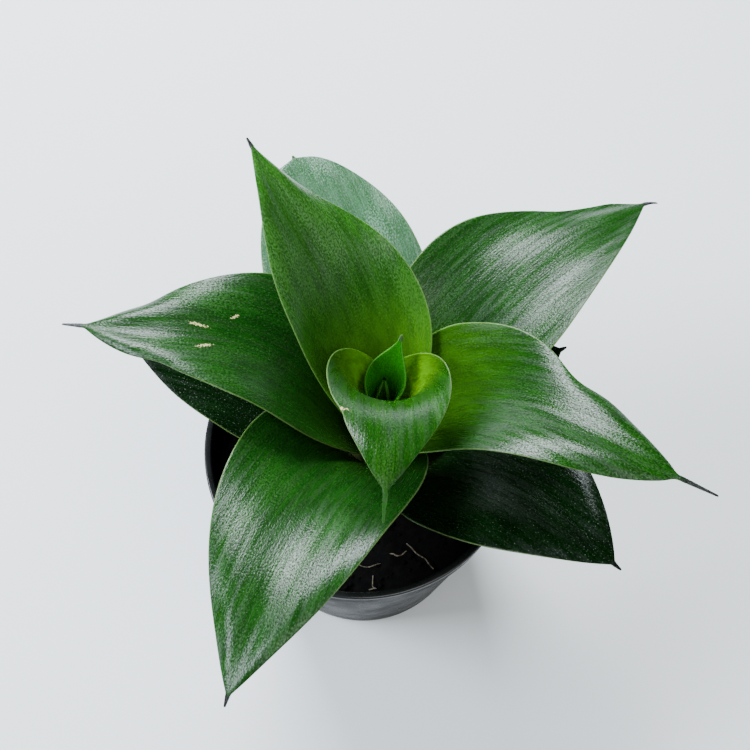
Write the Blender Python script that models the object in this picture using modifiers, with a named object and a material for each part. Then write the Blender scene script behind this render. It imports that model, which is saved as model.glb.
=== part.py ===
"""Potted snake plant: a compact rosette of eleven leaves in a round nursery pot.

Metres, +Z up. The origin is the centre of the pot's underside, on the surface that it stands on.
The leaves are numbered from the youngest, rolled up in the middle, to the oldest, lowest and outermost.
"""

from dataclasses import dataclass
from math import atan2, cos, hypot, pi, radians, sin

import bmesh
import bpy
from mathutils import Vector

# --- Pot ---------------------------------------------------------------------------------------
POT_HEIGHT = 0.105
RIM_DIAMETER = 0.120            # outside, over the rolled lip
BASE_DIAMETER = 0.088           # outside, at the underside
POT_WALL = 0.0012
POT_FLOOR = 0.0020
RIM_BAND_HEIGHT = 0.011         # the thicker collar under the lip
RIM_LIP_WIDTH = 0.0028          # how far the lip reaches in from the outside
RIM_LIP_HEIGHT = 0.0020
RIM_STEP = 0.0022               # how far the collar stands out from the wall below it
FOOT_BEVEL = 0.0020
DRAIN_HOLE_DIAMETER = 0.009
DRAIN_HOLE_COUNT = 8
DRAIN_RING_GAP = 0.006          # from a drain hole's edge to the outside of the base
POT_SEGMENTS = 48             # the soil has as many, so that their facets line up

# --- Soil ---------------------------------------------------------------------------------------
SOIL_BELOW_RIM = 0.013
SOIL_CLEARANCE = 0.0003         # soil to pot
SOIL_EDGE_DIP = 0.0015          # the soil sags a little towards the wall

# --- Crown: the short stem that the leaves grow from -----------------------------------------------
CROWN_X = 0.008                 # the plant stands a little off the pot's middle
CROWN_Y = 0.002
CROWN_RISE = 0.024              # top of the stem above the soil
CROWN_BURIED = 0.020            # how far the stem goes down into the soil
CROWN_CLEARANCE = 0.0003        # stem to soil
CROWN_TIP_RADIUS = 0.0022
CROWN_ROOT_RADIUS = 0.009
CROWN_SEGMENTS = 32

# --- Leaves -------------------------------------------------------------------------------------
BLADE_THICKNESS = 0.0016        # along the middle of a leaf
MARGIN_THICKNESS = 0.0007       # at its edges
LEAF_GAP = 0.00045              # between the nested feet of two leaves
STEM_GAP = 0.0005               # between the stem and a leaf's foot
LOWEST_FOOT_RISE = 0.0020       # the oldest leaf's foot, above the soil
SPINE_HALF_WIDTH = 0.0008       # the dry point that a leaf ends in
SPINE_TIP_HALF_WIDTH = 0.0003
BLADE_ROWS = 13
SPINE_ROWS = 2
CLASP_END = 0.40                # the foot wraps the stem, and the blade has opened by this share
TIP_START = 0.55                # from here on the section eases to the shape that it has at the tip
FULLEST_CLASP = radians(165)

SOIL_LEVEL = POT_HEIGHT - SOIL_BELOW_RIM
CROWN_TOP = SOIL_LEVEL + CROWN_RISE
FOOT_STEP = (BLADE_THICKNESS + MARGIN_THICKNESS) / 2 + LEAF_GAP
FIRST_FOOT_RADIUS = CROWN_TIP_RADIUS + STEM_GAP + BLADE_THICKNESS / 2


@dataclass
class Leaf:
    """One leaf. Angles in degrees, lengths in metres, places along the leaf as shares of its length."""

    azimuth: float              # the way it grows, anticlockwise from +X
    length: float
    half_width: float           # across the widest place, along the curve of the section
    rise_foot: float            # how steeply it climbs at its foot
    rise_tip: float             # and at its tip
    bow: float = 1.1            # over 1: it stays steep for longer before it leans out
    sweep: float = 0.0          # how far it veers round by the tip
    sway: float = 0.0           # a double bend along its middle
    twist: float = 0.0          # how far it is turned over at the tip
    cup: float = 0.85           # 1: its section is an arc round the stem all the way out
    tip_cup: float = 0.0        # half the section's arc at the tip
    widest: float = 0.44
    foot_width: float = 0.50    # width at the foot, as a share of the widest
    shoulder: float = 1.8
    taper: float = 1.0
    spine: float = 0.005
    columns: int = 8


LEAVES = [
    Leaf(58, 0.058, 0.0146, 90, 74, sweep=-1, twist=-2, cup=1.05, tip_cup=50, foot_width=0.60, taper=1.45,
         spine=0.003, columns=12),
    Leaf(-86.5, 0.1225, 0.0302, 83, -15, bow=3.5, sweep=-7.6, sway=-2, twist=-17, cup=0.88, tip_cup=-8,
         widest=0.31, foot_width=0.43, shoulder=1.54, taper=0.81, spine=0.010, columns=12),
    Leaf(124, 0.125, 0.0320, 79, 17, bow=1.45, sweep=-2, sway=-4, twist=29, cup=0.95, tip_cup=-11,
         widest=0.39, foot_width=0.42, shoulder=1.55, taper=1.1, spine=0.004),
    Leaf(-28, 0.143, 0.0313, 76, -2, bow=1.55, sweep=1, sway=10, twist=-16, cup=0.87, tip_cup=-12,
         widest=0.38, foot_width=0.44, shoulder=1.05, taper=0.73, spine=0.0135),
    Leaf(170, 0.129, 0.0291, 80, -15, bow=1.13, sweep=-2, sway=-13, twist=17, cup=0.83, tip_cup=-13,
         widest=0.41, spine=0.009),
    Leaf(44, 0.1335, 0.0330, 79, -13, bow=0.46, sweep=-12, sway=3.5, twist=-23, cup=0.83, tip_cup=-4,
         shoulder=1.57, spine=0.006),
    Leaf(-118, 0.144, 0.0338, 82, -16, bow=1.06, sweep=12, sway=-1, twist=16, cup=0.88, tip_cup=-8,
         widest=0.41, shoulder=1.6, taper=0.95, spine=0.004),
    Leaf(104, 0.106, 0.0323, 75, 5, bow=0.40, sweep=14, sway=-1, twist=1, cup=0.83, taper=0.58,
         spine=0.0015),
    Leaf(-39, 0.113, 0.0294, 70, 14, bow=0.93, sweep=-10, sway=2, twist=-4, cup=0.60, taper=0.93,
         spine=0.0035),
    Leaf(161, 0.097, 0.0273, 68, 4, bow=0.61, sweep=5, sway=-1, cup=0.83, widest=0.42, spine=0.004),
    Leaf(17, 0.0713, 0.0264, 75, 24, bow=0.78, twist=-7, cup=0.84, spine=0.0025),
]
FOOT_DROP = (CROWN_RISE - LOWEST_FOOT_RISE) / (len(LEAVES) - 1)     # each older leaf starts this much lower


def collection(name):
    group = bpy.data.collections.new(name)
    bpy.context.scene.collection.children.link(group)
    return group


def material(name, colour, roughness):
    """A plain Principled BSDF in linear colour."""
    made = bpy.data.materials.new(name)
    made.use_nodes = True
    shader = made.node_tree.nodes["Principled BSDF"]
    shader.inputs["Base Color"].default_value = (*colour, 1.0)
    shader.inputs["Roughness"].default_value = roughness
    return made


def add_object(name, mesh, group, finish=None):
    made = bpy.data.objects.new(name, mesh)
    group.objects.link(made)
    if finish:
        mesh.materials.append(finish)
    return made


def turned(name, profile, segments, group, finish=None):
    """A solid turned about Z from (radius, height) points that run down its outer side."""
    mesh = bpy.data.meshes.new(name)
    points = [(radius, 0.0, height) for radius, height in profile]
    mesh.from_pydata(points, [(i, i + 1) for i in range(len(points) - 1)], [])
    made = add_object(name, mesh, group, finish)
    screw = made.modifiers.new("turn", "SCREW")
    screw.axis = "Z"
    screw.steps = segments
    screw.render_steps = segments
    screw.use_merge_vertices = True
    screw.merge_threshold = 0.00001
    screw.use_smooth_shade = True
    return made


def cut(target, cutter):
    """Take the cutter's shape out of the target and keep the cutter as a guide."""
    cutter.hide_render = True
    cutter.display_type = "WIRE"
    boolean = target.modifiers.new("cut " + cutter.name, "BOOLEAN")
    boolean.operation = "DIFFERENCE"
    boolean.object = cutter


# --- Pot and soil -------------------------------------------------------------------------------

def wall_radius(height):
    """Outside of the pot's plain wall, which widens evenly from the base to the collar."""
    top = RIM_DIAMETER / 2 - RIM_STEP
    base = BASE_DIAMETER / 2
    return base + (top - base) * height / (POT_HEIGHT - RIM_BAND_HEIGHT)


def pot_profile():
    rim = RIM_DIAMETER / 2
    band_foot = POT_HEIGHT - RIM_BAND_HEIGHT
    lip_fillet = RIM_LIP_HEIGHT / 3
    inside_top = rim - RIM_LIP_WIDTH
    inside_wall_top = wall_radius(band_foot) - POT_WALL
    inside_floor = wall_radius(POT_FLOOR + FOOT_BEVEL) - POT_WALL
    return [
        (0.0, POT_FLOOR),
        (inside_floor - FOOT_BEVEL, POT_FLOOR),
        (inside_floor, POT_FLOOR + FOOT_BEVEL),
        (inside_wall_top, band_foot),
        (inside_top, POT_HEIGHT - RIM_LIP_HEIGHT),
        (inside_top + lip_fillet, POT_HEIGHT),
        (rim - lip_fillet, POT_HEIGHT),
        (rim, POT_HEIGHT - lip_fillet),
        (rim, POT_HEIGHT - RIM_LIP_HEIGHT),
        (rim - POT_WALL / 2, POT_HEIGHT - RIM_LIP_HEIGHT - POT_WALL / 2),
        (rim - POT_WALL, band_foot),
        (wall_radius(band_foot), band_foot),
        (wall_radius(FOOT_BEVEL), FOOT_BEVEL),
        (wall_radius(0.0) - FOOT_BEVEL, 0.0),
        (0.0, 0.0),
    ]


def make_pot(group, cutters, finish):
    pot = turned("nursery_pot", pot_profile(), POT_SEGMENTS, group, finish)
    ring_radius = BASE_DIAMETER / 2 - DRAIN_RING_GAP - DRAIN_HOLE_DIAMETER / 2
    mesh = bpy.data.meshes.new("drain_holes")
    drill = bmesh.new()
    for index in range(DRAIN_HOLE_COUNT):
        angle = 2 * pi * (index + 0.5) / DRAIN_HOLE_COUNT
        made = bmesh.ops.create_cone(drill, cap_ends=True, segments=20, radius1=DRAIN_HOLE_DIAMETER / 2,
                                     radius2=DRAIN_HOLE_DIAMETER / 2, depth=POT_FLOOR * 4)
        place = Vector((ring_radius * cos(angle), ring_radius * sin(angle), POT_FLOOR / 2))
        bmesh.ops.translate(drill, vec=place, verts=made["verts"])
    drill.to_mesh(mesh)
    drill.free()
    cut(pot, add_object("drain_holes", mesh, cutters))


def make_soil(group, cutters, finish):
    inner = POT_WALL + SOIL_CLEARANCE
    floor = POT_FLOOR + SOIL_CLEARANCE
    edge = SOIL_LEVEL - SOIL_EDGE_DIP
    profile = [
        (0.0, SOIL_LEVEL),
        (wall_radius(edge) * 0.6, SOIL_LEVEL),
        (wall_radius(edge) - inner, edge),
        (wall_radius(floor + FOOT_BEVEL) - inner, floor + FOOT_BEVEL),
        (wall_radius(floor) - inner - FOOT_BEVEL, floor),
        (0.0, floor),
    ]
    soil = turned("potting_soil", profile, POT_SEGMENTS, group, finish)
    pocket = turned("crown_pocket", crown_profile(CROWN_CLEARANCE), CROWN_SEGMENTS, cutters)
    pocket.location = (CROWN_X, CROWN_Y, 0.0)
    cut(soil, pocket)


# --- Plant --------------------------------------------------------------------------------------

def foot_radius(order):
    return FIRST_FOOT_RADIUS + FOOT_STEP * order


def foot_height(order):
    return CROWN_TOP - FOOT_DROP * order


def crown_profile(extra=0.0):
    """The stem is a cone inside the leaves' feet, and rounds off under the soil."""
    inset = STEM_GAP + BLADE_THICKNESS / 2
    last = len(LEAVES) - 1
    widest = foot_radius(last) - inset
    bottom = SOIL_LEVEL - CROWN_BURIED
    return [
        (0.0, CROWN_TOP + CROWN_TIP_RADIUS / 2 + extra),
        (CROWN_TIP_RADIUS * 0.7 + extra, CROWN_TOP + CROWN_TIP_RADIUS / 3 + extra),
        (CROWN_TIP_RADIUS + extra, CROWN_TOP),
        (widest + extra, foot_height(last)),
        (widest + extra, foot_height(last) - CROWN_BURIED / 3),
        (CROWN_ROOT_RADIUS + extra, bottom + CROWN_BURIED / 6),
        (CROWN_ROOT_RADIUS * 0.6 + extra, bottom - extra),
        (0.0, bottom - extra),
    ]


def ease(value, start, end):
    """0 before start, 1 after end, and a smooth step between."""
    share = min(max((value - start) / (end - start), 0.0), 1.0)
    return share * share * (3 - 2 * share)


def half_width(leaf, along):
    """From the foot the blade swells to its widest place, then narrows to the spine."""
    if along <= leaf.widest:
        swell = sin(pi / 2 * along / leaf.widest) ** 1.3
        share = leaf.foot_width + (1 - leaf.foot_width) * swell
    else:
        past = (along - leaf.widest) / (1 - leaf.widest)
        share = max(1 - past ** leaf.shoulder, 0.0) ** leaf.taper
    return (leaf.half_width - SPINE_HALF_WIDTH) * share + SPINE_HALF_WIDTH


def heading(leaf, along):
    """Unit vectors at a place on the leaf's middle: along it, across it and out of its upper face."""
    rise = radians(leaf.rise_foot + (leaf.rise_tip - leaf.rise_foot) * along ** leaf.bow)
    way = radians(leaf.azimuth + leaf.sweep * along ** 2 + leaf.sway * sin(2 * pi * along))
    turn = radians(leaf.twist * along ** 1.5)
    forward = Vector((cos(rise) * cos(way), cos(rise) * sin(way), sin(rise)))
    level = Vector((-sin(way), cos(way), 0.0))
    upward = Vector((-sin(rise) * cos(way), -sin(rise) * sin(way), cos(rise)))
    across = level * cos(turn) + upward * sin(turn)
    return forward, across, upward * cos(turn) - level * sin(turn)


def spine_line(leaf, order, steps=60):
    """Points down the leaf's middle, from its foot on the stem to the end of the blade."""
    way = radians(leaf.azimuth)
    reach = foot_radius(order)
    point = Vector((CROWN_X + reach * cos(way), CROWN_Y + reach * sin(way), foot_height(order)))
    points = [point.copy()]
    for index in range(steps):
        point = point + heading(leaf, (index + 0.5) / steps)[0] * leaf.length / steps
        points.append(point.copy())
    return points


def leaf_point(leaf, line, along, side):
    """A point of the leaf's middle surface: along 0..1 is the blade, over 1 the spine; side is -1..1."""
    blade = min(along, 1.0)
    place = blade * (len(line) - 1)
    low = min(int(place), len(line) - 2)
    middle = line[low].lerp(line[low + 1], place - low)
    forward, across, up = heading(leaf, blade)
    if along > 1.0:
        share = along - 1.0
        middle = middle + forward * leaf.spine * share
        width = SPINE_HALF_WIDTH + (SPINE_TIP_HALF_WIDTH - SPINE_HALF_WIDTH) * share
    else:
        width = half_width(leaf, blade)
    reach = hypot(middle.x - CROWN_X, middle.y - CROWN_Y)
    clasp = (1 + (leaf.cup - 1) * ease(blade, 0.0, CLASP_END)) * width / reach
    clasp = min(clasp, FULLEST_CLASP)
    arc = clasp + (radians(leaf.tip_cup) - clasp) * ease(blade, TIP_START, 1.0)
    if abs(arc) < 0.001:
        arc = 0.001
    return middle + across * (width * sin(arc * side) / arc) + up * (width * (1 - cos(arc * side)) / arc)


def make_leaf(leaf, order, group, finish):
    """A flat grid bent to the leaf's middle surface, then given its thickness, thinner at the margins."""
    name = f"leaf_{order + 1:02d}"
    rows = BLADE_ROWS + SPINE_ROWS
    bpy.ops.mesh.primitive_grid_add(x_subdivisions=leaf.columns, y_subdivisions=rows, size=2.0)
    made = bpy.context.object
    made.name = name
    made.data.name = name
    for other in list(made.users_collection):
        other.objects.unlink(made)
    group.objects.link(made)
    line = spine_line(leaf, order)
    thickness = made.vertex_groups.new(name="thickness")
    for vertex in made.data.vertices:
        side = vertex.co.x
        row = round((vertex.co.y + 1) / 2 * rows)
        along = row / BLADE_ROWS if row <= BLADE_ROWS else 1 + (row - BLADE_ROWS) / SPINE_ROWS
        edge = side * side if along < 1 else 1.0
        thickness.add([vertex.index], 1 - edge * (1 - MARGIN_THICKNESS / BLADE_THICKNESS), "REPLACE")
        vertex.co = leaf_point(leaf, line, along, side)
    solidify = made.modifiers.new("thickness", "SOLIDIFY")
    solidify.thickness = BLADE_THICKNESS
    solidify.offset = 0.0
    solidify.vertex_group = thickness.name
    solidify.use_rim = True
    made.data.materials.append(finish)
    made.data.shade_smooth()


def main():
    for existing in list(bpy.data.objects):
        bpy.data.objects.remove(existing, do_unlink=True)
    plant = collection("potted_snake_plant")
    cutters = collection("cutters")
    make_pot(plant, cutters, material("black plastic", (0.008, 0.009, 0.011), 0.30))
    make_soil(plant, cutters, material("potting soil", (0.012, 0.009, 0.007), 0.95))
    turned("crown", crown_profile(), CROWN_SEGMENTS, plant, material("stem", (0.20, 0.24, 0.08), 0.6))
    plant.objects["crown"].location = (CROWN_X, CROWN_Y, 0.0)
    young = material("young leaf", (0.055, 0.150, 0.012), 0.35)
    grown = material("grown leaf", (0.018, 0.062, 0.012), 0.30)
    for order, leaf in enumerate(LEAVES):
        make_leaf(leaf, order, plant, young if order < 4 else grown)


main()
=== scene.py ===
"""Looks of the potted snake plant: a compact rosette in a black nursery pot.

Metres, +Z up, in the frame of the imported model: the origin is the centre of the pot's underside.
The leaves follow the same curves as their solids, on a fine grid, with margins, folds and points.
"""

from dataclasses import dataclass
from math import cos, exp, hypot, pi, radians, sin
from random import Random

import bpy
from mathutils import Euler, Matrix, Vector, noise


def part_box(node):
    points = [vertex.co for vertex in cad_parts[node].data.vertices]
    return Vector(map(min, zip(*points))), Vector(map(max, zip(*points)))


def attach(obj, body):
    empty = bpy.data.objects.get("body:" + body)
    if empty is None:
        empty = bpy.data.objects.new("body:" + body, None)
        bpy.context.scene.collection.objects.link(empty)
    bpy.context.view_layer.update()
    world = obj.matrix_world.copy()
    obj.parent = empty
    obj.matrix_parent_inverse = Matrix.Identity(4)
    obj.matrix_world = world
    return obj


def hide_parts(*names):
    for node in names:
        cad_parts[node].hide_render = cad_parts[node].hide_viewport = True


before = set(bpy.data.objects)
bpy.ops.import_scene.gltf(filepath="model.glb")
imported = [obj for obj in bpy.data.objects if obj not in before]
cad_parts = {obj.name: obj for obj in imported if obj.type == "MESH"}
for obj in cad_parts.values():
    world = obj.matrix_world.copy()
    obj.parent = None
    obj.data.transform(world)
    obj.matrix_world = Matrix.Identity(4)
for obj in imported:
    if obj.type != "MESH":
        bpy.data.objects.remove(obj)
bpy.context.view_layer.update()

MM = 0.001
BODY = "root"

# --- Places taken from the frame ------------------------------------------------------------------
pot_low, pot_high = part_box("nursery_pot")
soil_low, soil_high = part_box("potting_soil")
crown_low, crown_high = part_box("crown")
POT_HEIGHT = pot_high[2]
RIM_RADIUS = (pot_high[0] - pot_low[0]) / 2
SOIL_LEVEL = soil_high[2]
SOIL_RADIUS = (soil_high[0] - soil_low[0]) / 2
CROWN_X = (crown_low[0] + crown_high[0]) / 2
CROWN_Y = (crown_low[1] + crown_high[1]) / 2

# --- Pot ------------------------------------------------------------------------------------------
BASE_RADIUS = 44 * MM
POT_WALL = 1.2 * MM
POT_FLOOR = 2.0 * MM
RIM_BAND_HEIGHT = 11 * MM
RIM_LIP_WIDTH = 2.8 * MM
RIM_LIP_HEIGHT = 2.0 * MM
RIM_STEP = 2.2 * MM
FOOT_BEVEL = 2.0 * MM
DRAIN_HOLE_RADIUS = 4.5 * MM
DRAIN_RING_RADIUS = 33.5 * MM
DRAIN_HOLE_COUNT = 8
POT_SEGMENTS = 192

# --- Leaves, as in the model ------------------------------------------------------------------------
CROWN_RISE = 24 * MM
CROWN_TIP_RADIUS = 2.2 * MM
BLADE_THICKNESS = 1.6 * MM
MARGIN_THICKNESS = 0.7 * MM
LEAF_GAP = 0.45 * MM
STEM_GAP = 0.5 * MM
LOWEST_FOOT_RISE = 2 * MM
SPINE_HALF_WIDTH = 0.8 * MM
SPINE_TIP_HALF_WIDTH = 0.25 * MM
CLASP_END = 0.40
TIP_START = 0.55
FULLEST_CLASP = radians(165)
BLADE_ROWS = 72
SPINE_ROWS = 8
FINE_MARGIN = 0.5 * MM          # the margin's own thickness on the fine leaf


@dataclass
class Leaf:
    """One leaf. Angles in degrees, lengths in metres, places along the leaf as shares of its length."""

    azimuth: float
    length: float
    half_width: float
    rise_foot: float
    rise_tip: float
    bow: float = 1.1
    sweep: float = 0.0
    sway: float = 0.0
    twist: float = 0.0
    cup: float = 0.85
    tip_cup: float = 0.0
    widest: float = 0.44
    foot_width: float = 0.50
    shoulder: float = 1.8
    taper: float = 1.0
    spine: float = 0.005
    columns: int = 28
    # (along, side, depth, spread): where a margin is drawn in, or with a negative depth let out
    nips: tuple = ()
    wave: float = 0.8 * MM      # how far the margins rise and fall
    wave_count: float = 2.0
    wave_start: float = 0.0
    spine_turn: float = 0.0     # how far the dry point bends towards the left margin
    fold: float = 0.8 * MM      # height of the shallow folds that run along the blade
    fold_count: float = 0.8     # folds in half the blade
    fold_start: float = 0.4     # where across the blade they begin, as a share of one fold


LEAVES = [
    Leaf(58, 0.058, 0.0146, 90, 74, sweep=-1, twist=-2, cup=1.05, tip_cup=50, foot_width=0.60, taper=1.45,
         spine=0.003, columns=40, wave=0.0, fold=0.0),
    Leaf(-86.5, 0.1225, 0.0302, 83, -15, bow=3.5, sweep=-7.6, sway=-2, twist=-17, cup=0.88, tip_cup=-8,
         widest=0.31, foot_width=0.43, shoulder=1.54, taper=0.81, spine=0.010, columns=48, wave=0.3 * MM,
         fold=0.0, nips=((0.80, -1, 0.07, 0.03),)),
    Leaf(124, 0.125, 0.0320, 79, 17, bow=1.45, sweep=-2, sway=-4, twist=29, cup=0.95, tip_cup=-11,
         widest=0.39, foot_width=0.42, shoulder=1.55, taper=1.1, spine=0.004, wave_start=0.3),
    Leaf(-28, 0.143, 0.0313, 76, -2, bow=1.55, sweep=1, sway=10, twist=-16, cup=0.87, tip_cup=-12,
         widest=0.38, foot_width=0.44, shoulder=1.05, taper=0.73, spine=0.0135,
         nips=((0.69, 1, 0.17, 0.07), (0.50, 1, -0.06, 0.10))),
    Leaf(170, 0.129, 0.0291, 80, -15, bow=1.13, sweep=-2, sway=-13, twist=17, cup=0.83, tip_cup=-13,
         widest=0.41, spine=0.009, wave_start=0.6,
         nips=((0.85, -1, 0.14, 0.06), (0.80, 1, 0.10, 0.05), (0.62, 1, -0.04, 0.08))),
    Leaf(44, 0.1335, 0.0330, 79, -13, bow=0.46, sweep=-12, sway=3.5, twist=-23, cup=0.83, tip_cup=-4,
         shoulder=1.57, spine=0.006, spine_turn=-25,
         nips=((0.80, 1, 0.08, 0.06), (0.56, 1, -0.04, 0.12), (0.94, 1, -0.20, 0.04)), fold_start=0.9),
    Leaf(-118, 0.144, 0.0338, 82, -16, bow=1.06, sweep=12, sway=-1, twist=16, cup=0.88, tip_cup=-8,
         widest=0.41, shoulder=1.6, taper=0.95, spine=0.004),
    Leaf(104, 0.106, 0.0323, 75, 5, bow=0.40, sweep=14, sway=-1, twist=1, cup=0.83, taper=0.58,
         spine=0.0015, wave_start=0.2, nips=((0.96, 1, -0.35, 0.04),)),
    Leaf(-39, 0.113, 0.0294, 70, 14, bow=0.93, sweep=-10, sway=2, twist=-4, cup=0.60, taper=0.93,
         spine=0.0035, wave_start=0.7),
    Leaf(161, 0.097, 0.0273, 68, 4, bow=0.61, sweep=5, sway=-1, cup=0.83, widest=0.42, spine=0.004),
    Leaf(17, 0.0713, 0.0264, 75, 24, bow=0.78, twist=-7, cup=0.84, spine=0.0025),
]
BUD = Leaf(80, 0.036, 0.0066, 90, 84, cup=1.2, tip_cup=150, widest=0.30, foot_width=0.8, shoulder=1.6,
           taper=1.0, spine=0.001, columns=24, wave=0.0, fold=0.0)
FOOT_DROP = (CROWN_RISE - LOWEST_FOOT_RISE) / (len(LEAVES) - 1)
FOOT_STEP = (BLADE_THICKNESS + MARGIN_THICKNESS) / 2 + LEAF_GAP
FIRST_FOOT_RADIUS = CROWN_TIP_RADIUS + STEM_GAP + BLADE_THICKNESS / 2
CROWN_TOP = SOIL_LEVEL + CROWN_RISE
YOUNG_LEAVES = 4                # the first ones, which keep a fresher green

# --- Loose things on the soil ------------------------------------------------------------------------
CRUMB_COUNT = 420
THREAD_COUNT = 26
FRONT_THREADS = 3               # of them, these lie in the open gap at the front, between two leaves

# --- Small tools ------------------------------------------------------------------------------------

def linear(code):
    """An sRGB hex colour in the linear values that shaders take."""
    values = [int(code[i:i + 2], 16) / 255 for i in (0, 2, 4)]
    return tuple(v / 12.92 if v <= 0.04045 else ((v + 0.055) / 1.055) ** 2.4 for v in values) + (1.0,)


def put(tree, kind, inputs=None, out=0, **settings):
    """Add a node and give back one of its outputs; inputs are constants or the sockets that feed them."""
    node = tree.nodes.new("ShaderNode" + kind)
    for name, value in settings.items():
        setattr(node, name, value)
    for name, value in (inputs or {}).items():
        if isinstance(value, bpy.types.NodeSocket):
            tree.links.new(value, node.inputs[name])
        else:
            node.inputs[name].default_value = value
    return node.outputs[out]


def finish_of(name, paint):
    """A material by its real name; paint gives the shader's inputs."""
    made = bpy.data.materials.new(name)
    made.use_nodes = True
    tree = made.node_tree
    shader = tree.nodes["Principled BSDF"]
    for socket, value in paint(tree).items():
        if isinstance(value, bpy.types.NodeSocket):
            tree.links.new(value, shader.inputs[socket])
        else:
            shader.inputs[socket].default_value = value
    return made


def select_only(obj):
    bpy.ops.object.select_all(action="DESELECT")
    obj.select_set(True)
    bpy.context.view_layer.objects.active = obj


def apply_modifiers(obj):
    select_only(obj)
    for modifier in list(obj.modifiers):
        bpy.ops.object.modifier_apply(modifier=modifier.name)


def finish_piece(obj, name, slot, *replaced):
    obj.name = name
    obj.data.name = name
    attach(obj, BODY)
    if replaced:
        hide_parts(*replaced)


# --- Leaf shape -------------------------------------------------------------------------------------

def ease(value, start, end):
    share = min(max((value - start) / (end - start), 0.0), 1.0)
    return share * share * (3 - 2 * share)


def half_width(leaf, along):
    if along <= leaf.widest:
        swell = sin(pi / 2 * along / leaf.widest) ** 1.3
        share = leaf.foot_width + (1 - leaf.foot_width) * swell
    else:
        past = (along - leaf.widest) / (1 - leaf.widest)
        share = max(1 - past ** leaf.shoulder, 0.0) ** leaf.taper
    return (leaf.half_width - SPINE_HALF_WIDTH) * share + SPINE_HALF_WIDTH


def heading(leaf, along):
    """Unit vectors at a place on the leaf's middle: along it, across it and out of its upper face."""
    rise = radians(leaf.rise_foot + (leaf.rise_tip - leaf.rise_foot) * along ** leaf.bow)
    way = radians(leaf.azimuth + leaf.sweep * along ** 2 + leaf.sway * sin(2 * pi * along))
    turn = radians(leaf.twist * along ** 1.5)
    forward = Vector((cos(rise) * cos(way), cos(rise) * sin(way), sin(rise)))
    level = Vector((-sin(way), cos(way), 0.0))
    upward = Vector((-sin(rise) * cos(way), -sin(rise) * sin(way), cos(rise)))
    across = level * cos(turn) + upward * sin(turn)
    return forward, across, upward * cos(turn) - level * sin(turn)


def spine_line(leaf, order, steps=60):
    """Points down the leaf's middle, from its foot on the stem to the end of the blade."""
    way = radians(leaf.azimuth)
    reach = FIRST_FOOT_RADIUS + FOOT_STEP * order
    foot = CROWN_TOP - FOOT_DROP * order
    point = Vector((CROWN_X + reach * cos(way), CROWN_Y + reach * sin(way), foot))
    points = [point.copy()]
    for index in range(steps):
        point = point + heading(leaf, (index + 0.5) / steps)[0] * leaf.length / steps
        points.append(point.copy())
    return points


def leaf_point(leaf, line, along, side):
    """A point of the leaf's middle surface, and how far it is from the middle along the surface."""
    blade = min(along, 1.0)
    place = blade * (len(line) - 1)
    low = min(int(place), len(line) - 2)
    middle = line[low].lerp(line[low + 1], place - low)
    forward, across, up = heading(leaf, blade)
    if along > 1.0:
        share = along - 1.0
        bend = radians(leaf.spine_turn) * share
        middle = middle + (forward * cos(bend) + across * sin(bend)) * leaf.spine * share
        width = SPINE_HALF_WIDTH + (SPINE_TIP_HALF_WIDTH - SPINE_HALF_WIDTH) * share
    else:
        width = half_width(leaf, blade)
    reach = hypot(middle.x - CROWN_X, middle.y - CROWN_Y)
    clasp = (1 + (leaf.cup - 1) * ease(blade, 0.0, CLASP_END)) * width / reach
    clasp = min(clasp, FULLEST_CLASP)
    arc = clasp + (radians(leaf.tip_cup) - clasp) * ease(blade, TIP_START, 1.0)
    if abs(arc) < 0.001:
        arc = 0.001
    for nip_place, nip_side, depth, spread in leaf.nips:
        if side * nip_side > 0:
            width *= 1 - depth * exp(-((blade - nip_place) / spread) ** 2) * abs(side)
    ripple = sin(2 * pi * (leaf.wave_count * blade + leaf.wave_start + 0.17 * side))
    open_blade = ease(blade, 0.3, 0.6) * (1 - ease(blade, 0.85, 1.0))
    lift = leaf.wave * ripple * abs(side) ** 2.5 * open_blade
    lift += leaf.fold * cos(2 * pi * (leaf.fold_count * side + leaf.fold_start)) * open_blade
    sideways = width * sin(arc * side) / arc
    raised = width * (1 - cos(arc * side)) / arc + lift
    return middle + across * sideways + up * raised, width * side


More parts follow.
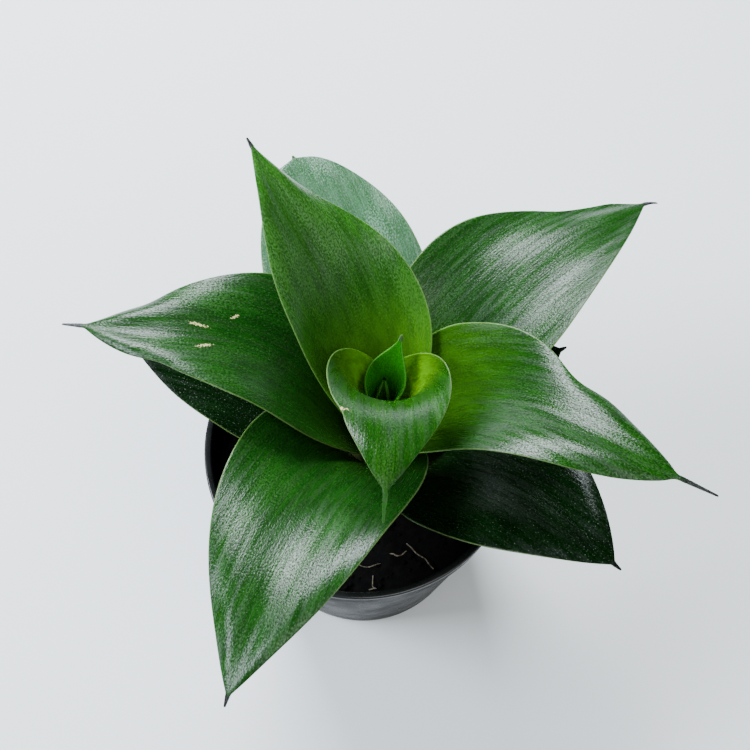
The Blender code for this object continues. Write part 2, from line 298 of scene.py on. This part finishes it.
def make_leaf(leaf, order, materials):
    """A grid laid on the leaf's middle surface, thickened towards its middle, with a rounded margin."""
    rows = BLADE_ROWS + SPINE_ROWS
    bpy.ops.object.select_all(action="DESELECT")
    bpy.ops.mesh.primitive_grid_add(x_subdivisions=leaf.columns, y_subdivisions=rows, size=2.0)
    obj = bpy.context.object
    mesh = obj.data
    line = spine_line(leaf, order)
    thickness = obj.vertex_groups.new(name="thickness")
    places = []
    for vertex in mesh.vertices:
        side = vertex.co.x
        row = round((vertex.co.y + 1) / 2 * rows)
        along = row / BLADE_ROWS if row <= BLADE_ROWS else 1 + (row - BLADE_ROWS) / SPINE_ROWS
        # the columns crowd towards the margins, where the blade thins
        side = side * (1.25 - 0.25 * side * side)
        thin = FINE_MARGIN / BLADE_THICKNESS
        body = (1 - side ** 4 * (1 - thin)) if along <= 1 else 1.0
        slim = 1 - 0.45 * ease(along, 0.85, 1.0) - 0.25 * ease(along, 1.0, 2.0)
        thickness.add([vertex.index], body * slim, "REPLACE")
        vertex.co, across = leaf_point(leaf, line, along, side)
        places.append((across, along, side))
    while mesh.uv_layers:
        mesh.uv_layers.remove(mesh.uv_layers[0])
    mesh.uv_layers.new(name="surface")
    mesh.uv_layers.new(name="share")
    for loop in mesh.loops:
        across, along, side = places[loop.vertex_index]
        mesh.uv_layers["surface"].data[loop.index].uv = (across, along * leaf.length)
        mesh.uv_layers["share"].data[loop.index].uv = (side, along)
    # the upper side keeps the first material, and the thickening makes the underside in the second
    mesh.flip_normals()
    solidify = obj.modifiers.new("thickness", "SOLIDIFY")
    solidify.thickness = BLADE_THICKNESS
    solidify.offset = 0.0
    solidify.vertex_group = thickness.name
    solidify.material_offset = 1
    solidify.material_offset_rim = 0
    smooth = obj.modifiers.new("rounded margin", "SUBSURF")
    smooth.levels = 1
    smooth.render_levels = 1
    for material in materials:
        mesh.materials.append(material)
    apply_modifiers(obj)
    obj.data.shade_smooth()
    if order < 0:
        finish_piece(obj, "rolled_bud", "young_leaf")
    else:
        node = f"leaf_{order + 1:02d}"
        finish_piece(obj, node + "_blade", "young_leaf" if order < YOUNG_LEAVES else "grown_leaf", node)


# --- Materials --------------------------------------------------------------------------------------

def leaf_grain(tree, surface, across_mm, along_mm, shift, detail=2.0):
    """A pattern on the leaf's own skin, its cells this many millimetres across and along the leaf."""
    laid = put(tree, "Mapping", {"Vector": surface, "Location": (shift, shift * 0.7, 0.0),
                                 "Scale": (1 / (across_mm * MM), 1 / (along_mm * MM), 1.0)})
    return put(tree, "TexNoise", {"Vector": laid, "Scale": 1.0, "Detail": detail}, noise_dimensions="2D")


def leaf_skin(kind, deep, mid, light, yellow_foot_and_painted_light, glow_reach, glow_strength, point, shift, shine=1.0, scars=(),
              dust=0.0):
    """Snake plant leaf: a waxy skin over green flesh.

    The eye sees deep green, mottled in flecks of about half a millimetre, yellower towards the foot, with a
    hair-thin pale margin and a dry point. The yellow-green at the foot is partly the leaf's own colour and,
    on the young leaves, painted light that lifts the shade in the throat. The skin's fine lengthwise ridges
    break its satin shine into streaks.
    """
    def paint(tree):
        surface = put(tree, "UVMap", uv_map="surface")
        share = put(tree, "UVMap", uv_map="share")
        side = put(tree, "SeparateXYZ", {"Vector": share}, out=0)
        along = put(tree, "SeparateXYZ", {"Vector": share}, out=1)
        fleck = leaf_grain(tree, surface, 0.50, 0.8, shift, 1.0)
        clump = leaf_grain(tree, surface, 3.0, 9.0, shift + 3.1, 3.0)
        vein = leaf_grain(tree, surface, 0.75, 55.0, shift + 5.3, 1.0)
        field = leaf_grain(tree, surface, 13.0, 34.0, shift + 7.7, 1.0)
        ridge = leaf_grain(tree, surface, 0.85, 11.0, shift + 1.9, 2.0)
        streak = leaf_grain(tree, surface, 1.9, 26.0, shift + 8.3, 3.0)

        tone = put(tree, "Math", {0: clump, 1: 0.45}, operation="MULTIPLY")
        tone = put(tree, "Math", {0: fleck, 1: 0.55, 2: tone}, operation="MULTIPLY_ADD")
        tone = put(tree, "MapRange", {"Value": tone, "From Min": 0.36, "From Max": 0.66},
                   interpolation_type="SMOOTHSTEP")
        colour = put(tree, "Mix", {0: tone, 6: linear(deep), 7: linear(mid)}, out=2, data_type="RGBA")
        pale = put(tree, "Math", {0: fleck, 1: field}, operation="MULTIPLY")
        pale = put(tree, "MapRange", {"Value": pale, "From Min": 0.27, "From Max": 0.42, "To Max": 0.40})
        colour = put(tree, "Mix", {0: pale, 6: colour, 7: linear(light)}, out=2, data_type="RGBA")
        lines = put(tree, "MapRange", {"Value": vein, "From Min": 0.50, "From Max": 0.74, "To Max": 0.14})
        colour = put(tree, "Mix", {0: lines, 6: colour, 7: linear(light)}, out=2, data_type="RGBA")
        # yellower towards the foot: the leaf's own colour, and on the spear, cup and young leaves also
        # painted light over the shade in the throat
        if glow_strength:
            reach = put(tree, "MapRange", {"Value": along, "From Min": 0.10, "From Max": glow_reach,
                                           "To Min": glow_strength, "To Max": 0.0},
                        interpolation_type="SMOOTHSTEP")
            uneven = put(tree, "MapRange", {"Value": clump, "From Min": 0.3, "From Max": 0.6, "To Min": 0.65})
            reach = put(tree, "Math", {0: reach, 1: uneven}, operation="MULTIPLY")
            colour = put(tree, "Mix", {0: reach, 6: colour, 7: linear(yellow_foot_and_painted_light)}, out=2, data_type="RGBA")
        off_middle = put(tree, "Math", {0: side}, operation="ABSOLUTE")
        edge = put(tree, "MapRange", {"Value": off_middle, "From Min": 0.984, "From Max": 0.998,
                                      "To Max": 0.40})
        colour = put(tree, "Mix", {0: edge, 6: colour, 7: linear("6f8a4c")}, out=2, data_type="RGBA")
        dry = put(tree, "MapRange", {"Value": along, "From Min": 0.97, "From Max": 1.25},
                  interpolation_type="SMOOTHSTEP")
        colour = put(tree, "Mix", {0: dry, 6: colour, 7: linear(point)}, out=2, data_type="RGBA")
        for across_mm, along_mm, length_mm, width_mm, turn in scars:
            spot = put(tree, "VectorMath", {0: surface, 1: (across_mm * MM, along_mm * MM, 0.0)},
                       operation="SUBTRACT")
            spot = put(tree, "VectorRotate", {"Vector": spot, "Angle": radians(turn)}, rotation_type="Z_AXIS")
            spot = put(tree, "VectorMath", {0: spot, 1: (2 / (width_mm * MM), 2 / (length_mm * MM), 0.0)},
                       operation="MULTIPLY")
            spot = put(tree, "VectorMath", {0: spot}, out=1, operation="LENGTH")
            ragged = put(tree, "MapRange", {"Value": fleck, "From Min": 0.3, "From Max": 0.7, "To Min": -0.7,
                                            "To Max": 0.7})
            spot = put(tree, "Math", {0: spot, 1: ragged}, operation="ADD")
            spot = put(tree, "MapRange", {"Value": spot, "From Min": 0.75, "From Max": 1.0, "To Min": 1.0,
                                          "To Max": 0.0})
            colour = put(tree, "Mix", {0: spot, 6: colour, 7: linear("b9ab7c")}, out=2, data_type="RGBA")
        if dust:
            speck = leaf_grain(tree, surface, 0.55, 0.55, shift + 9.4, 0.0)
            speck = put(tree, "MapRange", {"Value": speck, "From Min": 0.80, "From Max": 0.84,
                                           "To Max": dust})
            colour = put(tree, "Mix", {0: speck, 6: colour, 7: linear("9aa79a")}, out=2, data_type="RGBA")

        height = put(tree, "Math", {0: ridge, 1: fleck}, operation="ADD")
        bump = put(tree, "Bump", {"Height": height, "Strength": 0.5, "Distance": 0.16 * MM})
        gloss = put(tree, "Math", {0: streak, 1: fleck}, operation="MULTIPLY")
        return {
            "Base Color": colour,
            "Roughness": put(tree, "MapRange", {"Value": streak, "From Min": 0.34, "From Max": 0.66,
                                                "To Min": 0.22, "To Max": 0.36}),
            "IOR": 1.40,
            "Specular IOR Level": put(tree, "MapRange", {"Value": gloss, "From Min": 0.14, "From Max": 0.36,
                                                         "To Min": 0.10 * shine, "To Max": 0.55 * shine}),
            "Subsurface Weight": 0.25 * glow_strength,
            "Subsurface Radius": (0.5, 1.0, 0.15),
            "Subsurface Scale": 2.0 * MM,
            "Normal": bump,
        }
    return finish_of(f"waxy {kind} leaf skin", paint)


def leaf_materials():
    """Upper and lower skins, leaf by leaf from the youngest."""
    kinds = {
        # spear and cup sit in the throat: their greens, above all the cup's bright yellow foot, are raised
        # past their own colour as painted light over the shade there
        "spear": ("126006", "187a0a", "269010", "2c9006", 0.45, 0.8, "46603a"),
        "cup": ("0b3203", "124302", "265808", "8ad800", 0.60, 1.0, "1c4a12"),
        # young: its foot colour is raised as painted light over the shade at its foot
        "young": ("1a480e", "265f12", "4a8036", "5c9c04", 0.55, 1.0, "0c130a"),
        "bright": ("092b03", "103d04", "205210", "376c00", 0.60, 1.0, "0c130a"),
        "grown": ("0b2c07", "123e0a", "245818", "1e4802", 0.42, 0.7, "080b07"),
        # the old and lowest leaves: near-black greens, partly the darker green of old leaves and partly
        # painted shade from the leaves over them
        "old": ("021002", "041a04", "0c2a0c", "0a2602", 0.35, 0.4, "080b07"),
        "shaded_lowest": ("021002", "041a04", "0c2a0c", "0a2602", 0.35, 0.4, "080b07"),
        # back: pale, grey-blue greens that paint in the sheen on this leaf
        "back": ("2c5230", "42684a", "7a9c86", "123202", 0.35, 0.4, "2a4a20"),
    }
    order = ["spear", "cup", "young", "bright", "grown", "grown", "grown", "back", "old", "shaded_lowest", "shaded_lowest"]
    scars = {1: ((-15.5, 97.0, 1.2, 6.0, 0.0),),
             4: ((6.0, 88.0, 5.0, 1.0, 20.0), (-2.5, 90.0, 6.0, 0.9, -10.0), (-7.5, 78.0, 3.0, 0.8, 35.0))}
    skins = []
    for index, kind in enumerate(order):
        deep, mid, light, yellow_foot_and_painted_light, reach, strength, point = kinds[kind]
        number = f"{kind} {index + 1}"
        upper = leaf_skin(number, deep, mid, light, yellow_foot_and_painted_light, reach, strength, point, 11.0 * index,
                          scars=scars.get(index, ()), dust=0.25 if kind in ("old", "shaded_lowest") else 0.12,
                          shine={"old": 0.6, "shaded_lowest": 0.3}.get(kind, 1.0))
        lower = leaf_skin(number + " lower", mid, light, "47764a", yellow_foot_and_painted_light, reach, strength * 0.7, point,
                          11.0 * index + 2.0, shine=0.3)
        skins.append((upper, lower))
    return skins


def moulded_black(tree):
    """Black polypropylene, moulded: the eye sees a soft gloss with faint scuffs and dust."""
    place = put(tree, "TexCoord", out=3)
    cloud = put(tree, "TexNoise", {"Vector": place, "Scale": 60.0, "Detail": 4.0})
    grain = put(tree, "TexNoise", {"Vector": place, "Scale": 1400.0, "Detail": 2.0})
    dusty = put(tree, "MapRange", {"Value": cloud, "From Min": 0.45, "From Max": 0.8})
    height = put(tree, "SeparateXYZ", {"Vector": place}, out=2)
    return {
        "Base Color": put(tree, "Mix", {0: dusty, 6: linear("08090a"), 7: linear("0c0d0f")}, out=2,
                          data_type="RGBA"),
        "Roughness": put(tree, "MapRange", {"Value": cloud, "From Min": 0.3, "From Max": 0.7, "To Min": 0.20,
                                            "To Max": 0.34}),
        "IOR": 1.49,
        "Specular IOR Level": put(tree, "MapRange", {"Value": height, "From Min": POT_HEIGHT - RIM_LIP_HEIGHT,
                                                     "From Max": POT_HEIGHT, "To Min": 0.005, "To Max": 0.5}),
        "Normal": put(tree, "Bump", {"Height": grain, "Strength": 0.15, "Distance": 0.05 * MM}),
    }


def damp_peat(tree):
    """Damp peat: near-black fibrous crumbs, dull, a little browner where they have dried."""
    place = put(tree, "TexCoord", out=3)
    coarse = put(tree, "TexNoise", {"Vector": place, "Scale": 350.0, "Detail": 5.0})
    fine = put(tree, "TexNoise", {"Vector": place, "Scale": 1500.0, "Detail": 3.0})
    dried = put(tree, "MapRange", {"Value": coarse, "From Min": 0.45, "From Max": 0.8})
    return {
        "Base Color": put(tree, "Mix", {0: dried, 6: linear("020202"), 7: linear("0b0906")}, out=2,
                          data_type="RGBA"),
        "Roughness": 0.9,
        "Specular IOR Level": 0.08,
        "Normal": put(tree, "Bump", {"Height": fine, "Strength": 0.6, "Distance": 0.4 * MM}),
    }


def ringed_stem(tree):
    """Pale green stem flesh with the ring scars of its leaves."""
    place = put(tree, "TexCoord", out=3)
    rings = put(tree, "TexNoise", {"Vector": place, "Scale": 300.0, "Detail": 3.0})
    tone = put(tree, "MapRange", {"Value": rings, "From Min": 0.4, "From Max": 0.7})
    return {
        "Base Color": put(tree, "Mix", {0: tone, 6: linear("4a5a24"), 7: linear("77824a")}, out=2,
                          data_type="RGBA"),
        "Roughness": 0.6,
        "Normal": put(tree, "Bump", {"Height": rings, "Strength": 0.4, "Distance": 0.2 * MM}),
    }


def dry_root(tree):
    """Thin dry roots: papery, pale tan."""
    place = put(tree, "TexCoord", out=3)
    fibre = put(tree, "TexNoise", {"Vector": place, "Scale": 900.0, "Detail": 2.0})
    tone = put(tree, "MapRange", {"Value": fibre, "From Min": 0.35, "From Max": 0.7})
    return {
        "Base Color": put(tree, "Mix", {0: tone, 6: linear("332d23"), 7: linear("7a705c")}, out=2,
                          data_type="RGBA"),
        "Roughness": 0.8,
    }


# --- Pot, soil and stem -----------------------------------------------------------------------------

def lathe(profile, segments):
    """A disc extruded ring by ring along (radius, height) points, from one end on the axis to the other."""
    bpy.ops.object.select_all(action="DESELECT")
    radius, height = profile[0]
    bpy.ops.mesh.primitive_circle_add(vertices=segments, radius=radius, fill_type="TRIFAN",
                                      location=(0, 0, height))
    obj = bpy.context.object
    bpy.ops.object.mode_set(mode="EDIT")
    bpy.ops.mesh.select_mode(type="VERT")
    bpy.ops.mesh.select_all(action="DESELECT")
    bpy.ops.object.mode_set(mode="OBJECT")
    for vertex in obj.data.vertices:
        vertex.select = hypot(vertex.co.x, vertex.co.y) > radius / 2
    for edge in obj.data.edges:
        edge.select = all(obj.data.vertices[i].select for i in edge.vertices)
    bpy.ops.object.mode_set(mode="EDIT")
    for next_radius, next_height in profile[1:]:
        bpy.ops.mesh.extrude_edges_move(TRANSFORM_OT_translate={"value": (0, 0, next_height - height)})
        share = next_radius / radius
        bpy.ops.transform.resize(value=(share, share, 1.0), center_override=(0, 0, next_height))
        radius, height = next_radius, next_height
    bpy.ops.mesh.extrude_edges_move()
    bpy.ops.mesh.merge(type="CENTER")
    bpy.ops.mesh.select_all(action="SELECT")
    bpy.ops.mesh.normals_make_consistent(inside=False)
    bpy.ops.object.mode_set(mode="OBJECT")
    select_only(obj)
    bpy.ops.object.transform_apply(location=True, rotation=True, scale=True)
    return obj


def wall_radius(height):
    top = RIM_RADIUS - RIM_STEP
    return BASE_RADIUS + (top - BASE_RADIUS) * height / (POT_HEIGHT - RIM_BAND_HEIGHT)


def fillet(corner, start, end, steps=4):
    """Points of a smooth bend from start to end, pulled towards the corner."""
    points = []
    for index in range(steps + 1):
        t = index / steps
        weights = ((start, (1 - t) ** 2), (corner, 2 * t * (1 - t)), (end, t * t))
        points.append(tuple(sum(place[axis] * weight for place, weight in weights) for axis in (0, 1)))
    return points


def make_pot(material):
    rim = RIM_RADIUS
    band_foot = POT_HEIGHT - RIM_BAND_HEIGHT
    inside_top = rim - RIM_LIP_WIDTH
    inside_wall = wall_radius(band_foot) - POT_WALL
    inside_floor = wall_radius(POT_FLOOR + FOOT_BEVEL) - POT_WALL
    profile = [(12 * MM, 0.0)]
    profile += fillet((BASE_RADIUS, 0.0), (BASE_RADIUS - FOOT_BEVEL, 0.0),
                      (wall_radius(FOOT_BEVEL), FOOT_BEVEL))
    profile += [(wall_radius(band_foot - 1 * MM), band_foot - 1 * MM)]
    profile += fillet((wall_radius(band_foot), band_foot),
                      (wall_radius(band_foot - 0.4 * MM), band_foot - 0.4 * MM),
                      (wall_radius(band_foot) + 0.3 * MM, band_foot), 3)
    profile += fillet((rim - POT_WALL, band_foot), (rim - POT_WALL - 0.4 * MM, band_foot),
                      (rim - POT_WALL + 0.02 * MM, band_foot + 0.5 * MM), 3)
    profile += [(rim - POT_WALL / 2, POT_HEIGHT - RIM_LIP_HEIGHT - POT_WALL / 2)]
    profile += fillet((rim, POT_HEIGHT - RIM_LIP_HEIGHT),
                      (rim - 0.3 * MM, POT_HEIGHT - RIM_LIP_HEIGHT - 0.3 * MM),
                      (rim, POT_HEIGHT - RIM_LIP_HEIGHT + 0.4 * MM), 3)
    profile += fillet((rim, POT_HEIGHT), (rim, POT_HEIGHT - 0.8 * MM), (rim - 0.8 * MM, POT_HEIGHT), 5)
    profile += fillet((inside_top, POT_HEIGHT), (inside_top + 0.7 * MM, POT_HEIGHT),
                      (inside_top, POT_HEIGHT - 0.9 * MM), 4)
    profile += [(inside_top - 0.1 * MM, POT_HEIGHT - RIM_LIP_HEIGHT), (inside_wall, band_foot)]
    profile += fillet((inside_floor, POT_FLOOR), (inside_floor, POT_FLOOR + FOOT_BEVEL),
                      (inside_floor - FOOT_BEVEL, POT_FLOOR))
    profile += [(12 * MM, POT_FLOOR)]
    pot = lathe(profile, POT_SEGMENTS)
    drills = []
    for index in range(DRAIN_HOLE_COUNT):
        angle = 2 * pi * (index + 0.5) / DRAIN_HOLE_COUNT
        place = (DRAIN_RING_RADIUS * cos(angle), DRAIN_RING_RADIUS * sin(angle), POT_FLOOR / 2)
        bpy.ops.mesh.primitive_cylinder_add(vertices=32, radius=DRAIN_HOLE_RADIUS, depth=POT_FLOOR * 4,
                                            location=place)
        drills.append(bpy.context.object)
    bpy.ops.object.select_all(action="DESELECT")
    for drill in drills:
        drill.select_set(True)
    bpy.context.view_layer.objects.active = drills[0]
    bpy.ops.object.join()
    drill = bpy.context.object
    cut = pot.modifiers.new("drain holes", "BOOLEAN")
    cut.object = drill
    apply_modifiers(pot)
    bpy.data.objects.remove(drill, do_unlink=True)
    pot.data.materials.clear()
    pot.data.materials.append(material)
    select_only(pot)
    bpy.ops.object.shade_smooth_by_angle(angle=radians(40))
    finish_piece(pot, "pot_shell", "pot_plastic", "nursery_pot")


def make_soil(material):
    """Soil with a crumbly top: a fine disc whose vertices rise and fall as peat settles."""
    rings = 70
    edge = SOIL_RADIUS - 0.1 * MM
    floor = soil_low[2]
    profile = [(10 * MM, floor), (wall_radius(floor) - POT_WALL - 2.6 * MM, floor),
               (edge, SOIL_LEVEL - 2.5 * MM)]
    profile += [(edge * (1 - index / rings) + 0.4 * MM, SOIL_LEVEL - 1.5 * MM) for index in range(1, rings)]
    soil = lathe(profile, 256)
    for vertex in soil.data.vertices:
        if vertex.co.z > SOIL_LEVEL - 2 * MM:
            reach = hypot(vertex.co.x, vertex.co.y)
            spot = vertex.co * 140
            lumps = noise.fractal(spot, 0.9, 2.2, 5) * 1.1 * MM
            settle = 1 - ease(reach, edge * 0.86, edge)
            vertex.co.z += (lumps + 0.6 * MM) * settle
            vertex.co.z = min(vertex.co.z, SOIL_LEVEL + 0.9 * MM)
    soil.data.materials.append(material)
    soil.data.shade_smooth()
    finish_piece(soil, "soil_body", "soil", "potting_soil")


def make_crumbs(material):
    """Loose crumbs of peat on the soil, each a rough pebble of twenty faces, joined into one piece."""
    rng = Random(7)
    crumbs = []
    bpy.ops.object.select_all(action="DESELECT")
    bpy.ops.mesh.primitive_ico_sphere_add(subdivisions=1, radius=1.0)
    master = bpy.context.object
    for _ in range(CRUMB_COUNT):
        angle = rng.uniform(0, 2 * pi)
        reach = (SOIL_RADIUS - 3 * MM) * rng.uniform(0.12, 1.0) ** 0.6
        size = rng.uniform(0.45, 1.5) * MM * (1.0 if rng.random() < 0.85 else 1.5)
        mesh = master.data.copy()
        turn = Euler((rng.uniform(0, 6), rng.uniform(0, 6), rng.uniform(0, 6))).to_matrix()
        seed = Vector((rng.uniform(0, 50), rng.uniform(0, 50), rng.uniform(0, 50)))
        squat = Vector((1.0, rng.uniform(0.6, 1.0), rng.uniform(0.4, 0.8)))
        place = Vector((reach * cos(angle), reach * sin(angle), SOIL_LEVEL - 0.9 * MM))
        for vertex in mesh.vertices:
            co = vertex.co * (1 + 0.35 * noise.noise(vertex.co * 1.6 + seed))
            vertex.co = turn @ Vector((co.x * squat.x, co.y * squat.y, co.z * squat.z)) * size + place
        crumb = bpy.data.objects.new("crumb", mesh)
        bpy.context.collection.objects.link(crumb)
        crumbs.append(crumb)
    bpy.data.objects.remove(master, do_unlink=True)
    bpy.ops.object.select_all(action="DESELECT")
    for crumb in crumbs:
        crumb.select_set(True)
    bpy.context.view_layer.objects.active = crumbs[0]
    bpy.ops.object.join()
    joined = bpy.context.object
    joined.data.materials.clear()
    joined.data.materials.append(material)
    joined.data.shade_smooth()
    finish_piece(joined, "soil_crumbs", "soil")


def make_roots(material):
    """Root threads that lie on the soil: thin curves with a kink or two, made into meshes."""
    rng = Random(21)
    threads = []
    for index in range(THREAD_COUNT):
        front = index < FRONT_THREADS
        angle = rng.uniform(-1.5, -0.9) if front else rng.uniform(0, 2 * pi)
        reach = (rng.uniform(34, 48) if front else rng.uniform(24, 50)) * MM
        length = rng.uniform(6, 20) * MM
        heading_angle = rng.uniform(0, 2 * pi)
        curve = bpy.data.curves.new("thread", "CURVE")
        curve.dimensions = "3D"
        curve.bevel_depth = rng.uniform(0.12, 0.28) * MM
        curve.bevel_resolution = 1
        curve.use_fill_caps = True
        line = curve.splines.new("NURBS")
        count = 7
        line.points.add(count - 1)
        x, y = reach * cos(angle), reach * sin(angle)
        for step in range(count):
            lift = rng.uniform(0.0, 0.9) * MM if 0 < step < count - 1 else -0.6 * MM
            line.points[step].co = (x, y, SOIL_LEVEL + 0.2 * MM + lift, 1.0)
            heading_angle += rng.uniform(-0.9, 0.9)
            x += cos(heading_angle) * length / count
            y += sin(heading_angle) * length / count
            over = hypot(x, y) / (SOIL_RADIUS - 2.5 * MM)
            if over > 1:
                x, y = x / over, y / over
        line.use_endpoint_u = True
        line.order_u = 3
        obj = bpy.data.objects.new("thread", curve)
        bpy.context.collection.objects.link(obj)
        threads.append(obj)
    bpy.ops.object.select_all(action="DESELECT")
    for obj in threads:
        obj.select_set(True)
    bpy.context.view_layer.objects.active = threads[0]
    bpy.ops.object.convert(target="MESH")
    bpy.ops.object.join()
    joined = bpy.context.object
    joined.data.materials.clear()
    joined.data.materials.append(material)
    joined.data.shade_smooth()
    finish_piece(joined, "root_threads", "soil")


def make_crown(material):
    """The stem: a cone under the leaves' feet, ringed by the scars of their growth."""
    inset = STEM_GAP + BLADE_THICKNESS / 2
    last = len(LEAVES) - 1
    widest = FIRST_FOOT_RADIUS + FOOT_STEP * last - inset
    low = SOIL_LEVEL + LOWEST_FOOT_RISE
    rings = 24
    profile = [(6 * MM, crown_low[2]), (9 * MM, crown_low[2] + 3 * MM), (widest, low - 7 * MM), (widest, low)]
    for index in range(1, rings):
        share = index / rings
        groove = 0.15 * MM * (index % 2)
        profile.append((widest + (CROWN_TIP_RADIUS - widest) * share - groove,
                        low + (CROWN_TOP - low) * share))
    profile += [(CROWN_TIP_RADIUS * 0.6, CROWN_TOP + 0.6 * MM)]
    crown = lathe(profile, 96)
    crown.location = (CROWN_X, CROWN_Y, 0.0)
    select_only(crown)
    bpy.ops.object.transform_apply(location=True, rotation=True, scale=True)
    crown.data.materials.append(material)
    crown.data.shade_smooth()
    finish_piece(crown, "stem", "stem", "crown")


# --- Stage ------------------------------------------------------------------------------------------

def make_stage():
    bpy.ops.object.select_all(action="DESELECT")
    bpy.ops.mesh.primitive_plane_add(size=6.0, location=(0, 0, 0))
    floor = bpy.context.object
    floor.name = "floor"
    floor.data.materials.append(finish_of("pale matt paint", lambda tree: {"Base Color": linear("e3e7e7"),
                                                                          "Roughness": 0.9}))

    world = bpy.data.worlds.new("studio")
    bpy.context.scene.world = world
    world.use_nodes = True
    world.node_tree.nodes["Background"].inputs["Color"].default_value = linear("e6edf2")
    world.node_tree.nodes["Background"].inputs["Strength"].default_value = 0.3

    for name, azimuth, elevation, size, power, colour in (
            ("window", 108, 40, 0.62, 50.0, "f0f6ff"),
            ("side window", -178, 50, 0.55, 26.0, "eaf2ff"),
            ("room", -25, 28, 0.90, 4.0, "ffffff"),
            ("overhead", -60, 68, 0.70, 7.0, "ffffff")):
        way, climb = radians(azimuth), radians(elevation)
        place = 1.35 * Vector((cos(climb) * cos(way), cos(climb) * sin(way), sin(climb)))
        light = bpy.data.lights.new(name, "AREA")
        light.shape = "SQUARE"
        light.size = size
        light.energy = power
        light.color = linear(colour)[:3]
        obj = bpy.data.objects.new(name, light)
        bpy.context.scene.collection.objects.link(obj)
        obj.location = place
        aim = Vector((0, 0, 0.15)) - place
        obj.rotation_euler = aim.to_track_quat("-Z", "Y").to_euler()

    camera = bpy.data.cameras.new("camera")
    camera.lens = 60.0
    camera.sensor_width = 36.0
    view = bpy.data.objects.new("camera", camera)
    bpy.context.scene.collection.objects.link(view)
    view.location = (0.00536, -0.17032, 0.55295)
    view.rotation_euler = (radians(24), 0, 0)
    bpy.context.scene.camera = view


def main():
    make_stage()
    make_pot(finish_of("moulded black polypropylene", moulded_black))
    peat = finish_of("damp peat", damp_peat)
    make_soil(peat)
    make_crumbs(peat)
    make_roots(finish_of("dry root thread", dry_root))
    make_crown(finish_of("snake plant stem", ringed_stem))
    skins = leaf_materials()
    for order, leaf in enumerate(LEAVES):
        make_leaf(leaf, order, skins[order])
    make_leaf(BUD, -1, skins[2])


main()
